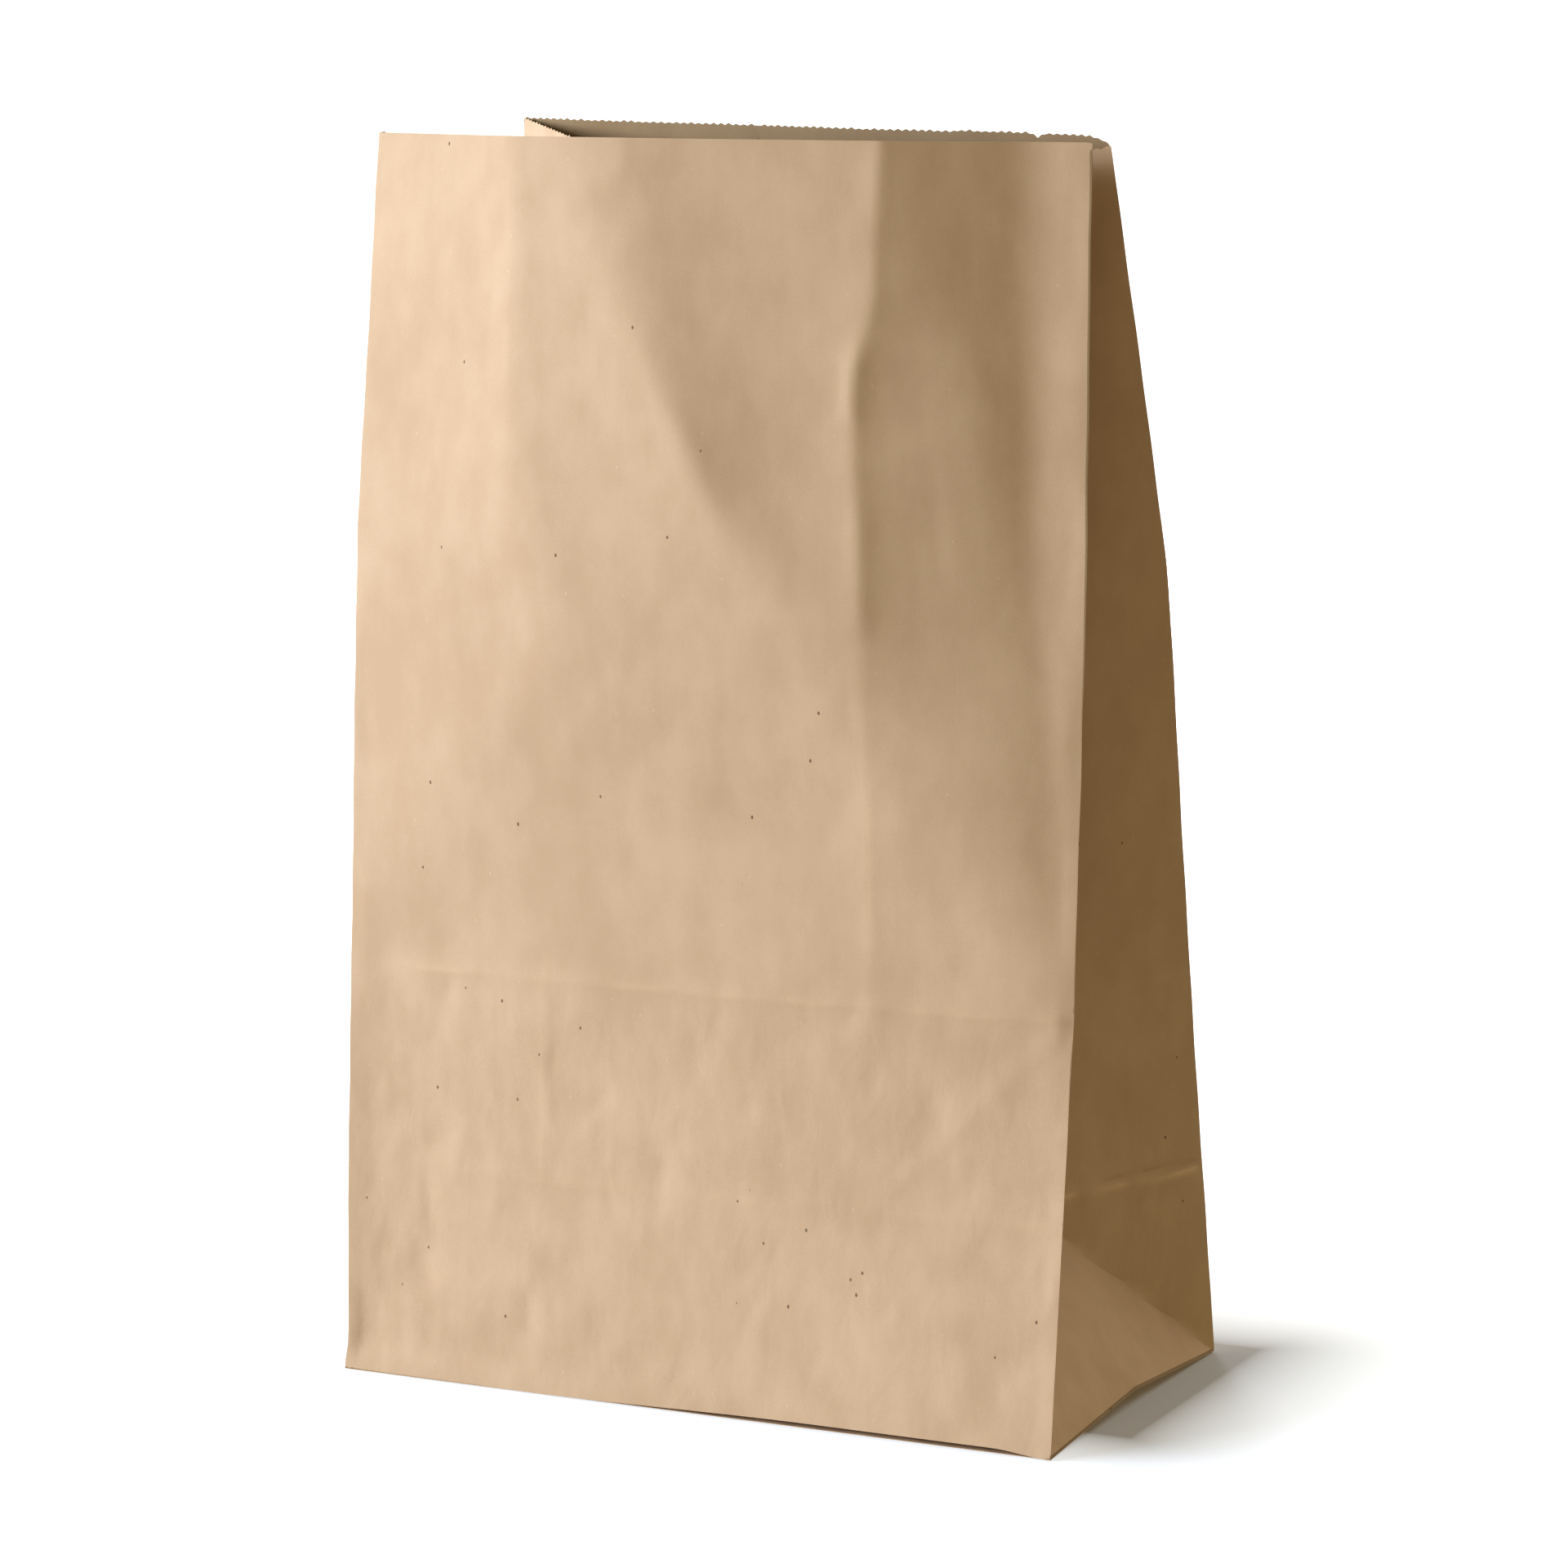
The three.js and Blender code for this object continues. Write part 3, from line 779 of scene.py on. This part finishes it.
def kraftPaper():
    make = Finish("kraftPaper")
    place = make.add("ShaderNodeTexCoord", output="Object")
    upright = make.add("ShaderNodeMapping", {}, {"Vector": place, "Scale": (1.0, 1.0, 0.18)})
    leaning = make.add("ShaderNodeMapping", {}, {"Vector": place, "Scale": (1.0, 1.0, 0.62)})

    def noise(vector, scale, detail, twist=0.0):
        values = {"Vector": vector, "Scale": scale, "Detail": detail, "Distortion": twist}
        return make.add("ShaderNodeTexNoise", {}, values)

    # colour: broad clouding, mottling, faint upright streaks and grain, then specks and pale fibres
    grain = noise(place, kraft["grainScale"], 2.0)
    streak = noise(upright, kraft["streakScale"], 3.0)
    cloud = noise(place, kraft["cloudScale"], 3.0)
    mottle = noise(leaning, kraft["mottleScale"], 5.0)
    shade = cloud * 0.36 + mottle * 0.36 + streak * 0.1 + grain * 0.18
    colour = blend(ramp(shade, 0.36, 0.64), kraft["deep"], kraft["pale"])
    for tint, scale, size, chance, strength in kraft["dots"]:
        settings = {"Vector": leaning, "Scale": scale}
        near = make.add("ShaderNodeTexVoronoi", {}, settings, output="Distance")
        pick = make.add("ShaderNodeTexVoronoi", {}, settings, output="Color")
        kept = make.add("ShaderNodeMath", {"operation": "GREATER_THAN"}, {0: pick, 1: chance})
        colour = blend(ramp(near, size * 1.7, size) * kept * strength, colour, kraft[tint])

    # creases painted pale in patches (wear, partly a painted highlight) or dark (painted shade), and the
    # inside skin darkened as painted shade
    patchy = ramp(noise(place, kraft["patchScale"], 3.0), 0.38, 0.62) * 0.8 + 0.2
    worn = make.add("ShaderNodeAttribute", {"attribute_name": "worn"}, output="Fac") * patchy
    colour = blend(ramp(worn, 0.0, 1.0), colour, kraft["worn"])
    colour = blend(ramp(worn, 0.0, -1.0), colour, kraft["paintedShade"])
    # painted shade: the inner skin is multiplied darker
    inside = make.add("ShaderNodeAttribute", {"attribute_name": "inside"}, output="Fac")
    colour = blend(inside, colour, kraft["inside"], "MULTIPLY")

    # bump, in mm: cockling all over, small wrinkles mostly below the bottom crease, and grain
    up = make.add("ShaderNodeSeparateXYZ", {}, {"Vector": place}, output="Z")
    level = bag["creaseHeight"] * mm
    below = ramp(up, level + 0.004, level - 0.008) * 0.75 + 0.25
    cockle = noise(leaning, kraft["cockleScale"], 2.0, 0.3) * kraft["cockleRise"]
    wrinkle = noise(leaning, kraft["wrinkleScale"], 4.0, 0.8) * kraft["wrinkleRise"]
    height = (cockle + wrinkle) * below + streak * kraft["streakRise"] + grain * kraft["grainRise"]
    bump = make.add("ShaderNodeBump", {}, {"Height": height, "Strength": 1.0, "Distance": 0.001})
    surface = make.add(
        "ShaderNodeBsdfPrincipled",
        {},
        {"Base Color": colour, "Roughness": kraft["roughness"], "Specular IOR Level": 0.25, "Normal": bump},
    )
    make.add("ShaderNodeOutputMaterial", {}, {"Surface": surface})
    return make.material


mesh.materials.append(kraftPaper())
print("kraft paper finish made")

# Floor, light and camera
studio = {
    "floorReach": 3.2,
    "sweep": 0.8,
    "wallHeight": 4.0,
    "floorColour": (0.57, 0.63, 0.80, 1),
    "glow": 0.95,
    "glowColour": (0.93, 0.97, 1.0, 1),
    "glowMiddle": (0.02, 0.016),
    "glowEdge": (0.078, 0.042),
    "glowReach": 0.12,
    "glowRise": 0.3,
    "skyColour": (1.0, 0.80, 0.405, 1),
    "skyStrength": 0.34,
    "lightAim": (0.0, 0.0, 0.13),
    "keyPlace": (-1.75, -1.45, 0.58),
    "keySize": (1.6, 0.8),
    "keyPower": 68.5,
    "keyColour": (0.895, 0.955, 1.0),
    "rimPlace": (0.8, 1.1, 1.5),
    "rimSize": (1.2, 1.2),
    "rimPower": 7.5,
    "rimColour": (1.0, 0.93, 0.82),
    "backPlace": (-1.0, 1.8, 0.3),
    "backSize": (0.5, 0.4),
    "backPower": 30.0,
    "backColour": (1.0, 0.97, 0.92),
    "azimuth": 25.449,
    "elevation": 8.375,
    "distance": 1.13346,
    "aimAcross": 0.00036,
    "aimUp": 0.13718,
    "focalPixels": 6000.0,
    "framePixels": 1920.0,
    "sensor": 36.0,
}


def pointAt(thing, place, aim):
    thing.location = place
    thing.rotation_euler = (Vector(aim) - Vector(place)).to_track_quat("-Z", "Y").to_euler()


# round floor swept up into a wall, glowing away from the bag so that it is pale all the way out
profile = []
for angle in range(0, 91, 10):
    bend = math.radians(angle)
    radius = studio["floorReach"] + studio["sweep"] * math.sin(bend)
    profile.append((radius, studio["sweep"] * (1 - math.cos(bend))))
profile.append((profile[-1][0], studio["wallHeight"]))
sides = 72
floorPoints, floorFaces = [], [tuple(range(sides))]
for k, (radius, level) in enumerate(profile):
    for i in range(sides):
        angle = 2 * math.pi * i / sides
        floorPoints.append((radius * math.cos(angle), radius * math.sin(angle), level))
        if k:
            n = (i + 1) % sides
            floorFaces.append(((k - 1) * sides + i, k * sides + i, k * sides + n, (k - 1) * sides + n))
floorMesh = bpy.data.meshes.new("floor")
floorMesh.from_pydata(floorPoints, [], floorFaces)
floorMesh.shade_smooth()
floor = bpy.data.objects.new("floor", floorMesh)
bpy.context.scene.collection.objects.link(floor)
paint = Finish("paleFloor")
place = paint.add("ShaderNodeTexCoord", output="Object")
east, north = (paint.add("ShaderNodeSeparateXYZ", {}, {"Vector": place}, output=axis) for axis in ("X", "Y"))
# the glow is painted light: nothing at the base and rising outward from a middle set right of the bag, so the
# shadow beside the base is partly real and partly painted
outward = []
for axis, middle, edge in zip((east, north), studio["glowMiddle"], studio["glowEdge"]):
    off = paint.add("ShaderNodeMath", {"operation": "ABSOLUTE"}, {0: axis - middle}) - edge
    outward.append(paint.add("ShaderNodeMath", {"operation": "MAXIMUM"}, {0: off, 1: 0.0}))
square = outward[0] * outward[0] + outward[1] * outward[1]
reach = paint.add("ShaderNodeMath", {"operation": "SQRT"}, {0: square})
distant = ramp(reach, 0.0, studio["glowReach"])
distant = paint.add("ShaderNodeMath", {"operation": "POWER"}, {0: distant, 1: studio["glowRise"]})
glow = blend(distant, (0, 0, 0, 1), studio["glowColour"])
coat = paint.add(
    "ShaderNodeBsdfPrincipled",
    {},
    {
        "Base Color": studio["floorColour"],
        "Roughness": 0.9,
        "Specular IOR Level": 0.0,
        "Emission Color": glow,
        "Emission Strength": studio["glow"],
    },
)
paint.add("ShaderNodeOutputMaterial", {}, {"Surface": coat})
floorMesh.materials.append(paint.material)
floor.visible_diffuse = False  # the glow stays on the floor

world = bpy.data.worlds.new("studio")
world.use_nodes = True
world.node_tree.nodes["Background"].inputs["Color"].default_value = studio["skyColour"]
world.node_tree.nodes["Background"].inputs["Strength"].default_value = studio["skyStrength"]
bpy.context.scene.world = world

for name in ("key", "rim", "back"):
    lamp = bpy.data.lights.new(name, "AREA")
    lamp.shape = "RECTANGLE"
    lamp.size, lamp.size_y = studio[name + "Size"]
    lamp.energy = studio[name + "Power"]
    lamp.color = studio[name + "Colour"]
    light = bpy.data.objects.new(name, lamp)
    bpy.context.scene.collection.objects.link(light)
    pointAt(light, studio[name + "Place"], studio["lightAim"])

turn, tilt = math.radians(studio["azimuth"]), math.radians(studio["elevation"])
aim = Vector((studio["aimAcross"] * math.cos(turn), studio["aimAcross"] * math.sin(turn), studio["aimUp"]))
away = Vector((math.sin(turn) * math.cos(tilt), -math.cos(turn) * math.cos(tilt), math.sin(tilt)))
cameraData = bpy.data.cameras.new("camera")
cameraData.sensor_width = studio["sensor"]
cameraData.lens = studio["focalPixels"] / studio["framePixels"] * studio["sensor"]
cameraData.clip_end = 60
camera = bpy.data.objects.new("camera", cameraData)
bpy.context.scene.collection.objects.link(camera)
pointAt(camera, aim + away * studio["distance"], aim)
bpy.context.scene.camera = camera
bpy.context.scene.view_settings.view_transform = "Standard"
bpy.context.scene.view_settings.look = "Medium High Contrast"
print("studio set")
